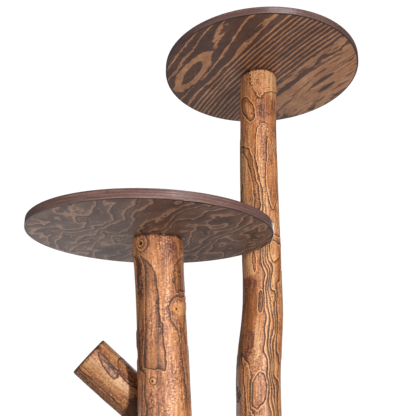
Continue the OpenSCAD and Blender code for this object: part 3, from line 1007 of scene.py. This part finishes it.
def high_board(name, centre, radius):
    f = Finish(name)
    place = f.millimetres(centre)
    x, y, z = f.apart(place)
    v = x * 0.225 + y * 0.974
    u = x * 0.974 - y * 0.225 - v * v * 0.00025
    spot = f.joined(u, v, z * 3.0)
    steps = u.most(FAN_LEFT).least(FAN_RIGHT) / CLOSE_LINES
    steps = steps + (u - FAN_RIGHT).most(0.0) / 60.0 + (u - FAN_LEFT).least(0.0) / 44.0
    steps = steps + (u + 208.0).least(0.0) / 30.0
    steps = steps + (f.noise(spot, (60, 380, 90), 2.0) - 0.5) * 1.3
    steps = steps + (f.noise(spot, (14, 70, 60), 2.0) - 0.5) * 0.7
    steps = steps + (f.noise(spot, (4, 10, 20), 3.0, 0.65) - 0.5) * 0.34
    steps = steps - oval(u, v, (-172, 46), (46, 130)) * 1.5
    part = steps.math("FRACT")
    left = f.fade(u, -95.0, -120.0) * 0.16
    lines = f.fade(part - left, 0.60, 0.66) * f.fade(part, 1.0, 0.94)
    rag = (f.noise(spot, (20, 60, 60), 4.0, 0.62) - 0.5)
    field = oval(u, v, (150, -60), (125, 250)) + rag * 1.5
    field = field - oval(u, v, (158, -66), (9, 48)) - oval(u, v, (193, -48), (7, 33))
    field = field - oval(u, v, (95, -40), (14, 120)) * 0.6
    flame = oval(u, v, (-176, 72), (27, 96))
    loop = flame + rag * 0.5
    loop = f.fade(loop, 0.26, 0.30) * f.fade(loop, 0.72, 0.67)
    specks = f.fade(f.noise(spot, (12, 110, 60), 3.0, 0.6), 0.55, 0.58)
    right = f.fade(u + rag * 50.0, 64.0, 84.0)
    lines = (lines * (1.0 - f.fade(flame, 0.12, 0.22))).most(loop)
    pale = lines * (1.0 - right) + f.fade(field, 0.42, 0.48) * (1.0 - specks * 0.8) * right
    pore = f.noise(spot, (2.4, 20, 8), 3.0, 0.65) - 0.5
    cloud = f.noise(spot, (40, 90, 60), 3.0) - 0.5
    dark = f.ramp(0.5 + cloud * 1.4 + pore * 1.5,
                  [(0.0, tone("3c2720")), (0.5, tone("51372d")), (1.0, tone("684a3d"))])
    gold = f.ramp(0.5 + cloud * 1.3 + pore * 1.9,
                  [(0.0, tone("7c5138")), (0.5, tone("a87552")), (1.0, tone("c9966d"))])
    colour = f.mix(pale * 0.92, dark, gold)
    colour = f.mix(f.fade(pore, 0.14, 0.26) * 0.5, colour, tone("2d1d17"))
    rim, wave, grit = board_rim(f, place, radius, colour, 0.58)
    f.bump((pale * 0.16 + pore * 0.3) * (1.0 - rim) + rim * (wave * 0.7 + grit * 0.3), 0.8)
    return f


print("the fan has", round((FAN_RIGHT - FAN_LEFT) / CLOSE_LINES), "lines")

# %% [markdown]
# The low perch and the base have a wilder figure, of thin pale lines that wander and
# double. shift moves the pattern, so that the two boards aren't alike.

# %% The finish of the low perch and the base
WILD_LINES = 36.0


def low_board(name, centre, radius, shift):
    f = Finish(name)
    place = f.millimetres(centre)
    x, y, z = f.apart(place)
    v = x * 0.30 + y * 0.954
    u = x * 0.954 - y * 0.30
    spot = f.joined(u + shift, v, z * 3.0)
    steps = u / WILD_LINES + (f.noise(spot, (95, 170, 90), 2.0, 0.5, 0.4) - 0.5) * 6.5
    steps = steps + (f.noise(spot, (28, 60, 60), 2.0, 0.5, 0.3) - 0.5) * 1.5
    steps = steps + (f.noise(spot, (5, 10, 20), 3.0, 0.65) - 0.5) * 0.34
    part = steps.math("FRACT")
    lines = f.fade(part, 0.70, 0.78) * f.fade(part, 1.0, 0.93)
    second = (steps * 2.0 + 0.3).math("FRACT")
    thin = f.fade(second, 0.72, 0.82) * f.fade(second, 1.0, 0.92)
    where = f.fade(f.noise(spot, (70, 110, 90), 2.0), 0.42, 0.6)
    pale = lines.most(thin * where * 0.7).most(f.fade(part, 0.1, 0.7) * 0.3)
    pore = f.noise(spot, (2.4, 18, 8), 3.0, 0.65) - 0.5
    cloud = f.noise(spot, (50, 100, 60), 3.0) - 0.5
    dark = f.ramp(0.5 + cloud * 1.5 + pore * 1.5,
                  [(0.0, tone("3a2822")), (0.5, tone("50382f")), (1.0, tone("674b40"))])
    tan = f.ramp(0.5 + cloud * 1.4 + pore * 1.9,
                 [(0.0, tone("7c5c49")), (0.5, tone("a07b64")), (1.0, tone("bf9a80"))])
    colour = f.mix(pale * 0.8, dark, tan)
    colour = f.mix(f.fade(pore, 0.14, 0.26) * 0.5, colour, tone("33231e"))
    rim, wave, grit = board_rim(f, place, radius, colour, 0.56)
    f.bump((pale * 0.14 + pore * 0.3) * (1.0 - rim) + rim * (wave * 0.7 + grit * 0.3), 0.8)
    return f


print("the lines of the low perch are some", WILD_LINES, "mm apart before they wander")

# %% [markdown]
# The CAD boards keep their meshes, holes and all, and only their finish is changed. Each
# finish is centred on its own board.

# %% Dressing the boards


def dress(node, finish):
    mesh = bpy.data.objects[node].data
    mesh.materials.clear()
    mesh.materials.append(finish.material)


for node, maker, extra in (("upper_platform", high_board, ()),
                           ("lower_platform", low_board, (0.0,)),
                           ("base_board", low_board, (900.0,))):
    low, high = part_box(node)
    centre = ((low[0] + high[0]) / 2, (low[1] + high[1]) / 2, low[2])
    radius = (high[0] - low[0]) * 500.0
    dress(node, maker(node + "_wood", centre, radius, *extra))
    print(node, "radius", round(radius, 1), "mm at", [round(c, 4) for c in centre])

# %% [markdown]
# ## Small parts
# The screws and washers are zinc plated, the deck screws with a yellow pass, and show
# faint crystals. The dowels are bare beech, the plugs are stained to match the logs, and
# the feet are black rubber with a dusty, finely pitted skin.

# %% Metal and turned wood


def plated(name, low, high):
    f = Finish(name)
    place = f.millimetres()
    flake = f.noise(place, (1.6, 1.6, 1.6), 2.0)
    scratch = f.noise(place, (0.25, 0.25, 3.0), 2.0) - 0.5
    colour = f.ramp(0.5 + (flake - 0.5) * 2.0, [(0.2, tone(low)), (0.8, tone(high))])
    f.set(Base_Color=colour, Metallic=1.0, Roughness=0.3 + flake * 0.2)
    f.bump(scratch * 0.03)
    return f


def turned_wood(name, low, high, size):
    f = Finish(name)
    place = f.millimetres()
    fine = f.noise(place, size, 3.0, 0.6)
    fleck = f.fade(f.noise(place, (0.6, 0.6, 2.4), 2.0), 0.58, 0.7)
    colour = f.ramp(fine, [(0.3, tone(low)), (0.7, tone(high))])
    f.set(Base_Color=f.mix(fleck * 0.4, colour, tone(low)), Roughness=0.6 + fleck * 0.1)
    f.bump(fine * 0.1 - fleck * 0.05)
    return f


zinc = plated("bright_zinc", "9b9ea2", "cfd2d4")
yellow = plated("yellow_zinc", "9c8346", "cdb574")
beech = turned_wood("bare_beech", "c49a68", "e2c294", (1.2, 1.2, 18))
plug = turned_wood("stained_plug", "5c3c26", "8a5e3c", (0.9, 9, 0.9))
print("made", [f.material.name for f in (zinc, yellow, beech, plug)])

# %% Rubber
rubber = Finish("foot_rubber")
place = rubber.millimetres()
pit = rubber.noise(place, (0.5, 0.5, 0.5), 2.0)
dust = rubber.fade(rubber.noise(place, (9, 9, 5), 3.0), 0.45, 0.7)
rubber.set(Base_Color=rubber.mix(dust * 0.35, tone("1b1b1c"), tone("4a4844")),
           Roughness=0.72 + dust * 0.15)
rubber.bump(pit * 0.06)
print("made", rubber.material.name)

# %% Dressing the small parts
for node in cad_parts:
    if "screw" in node or "washer" in node:
        dress(node, yellow if "platform" in node else zinc)
    elif "dowel" in node:
        dress(node, beech)
    elif "plug" in node:
        dress(node, plug)
dress("rubber_feet", rubber)
print("finishes:", len(bpy.data.materials))
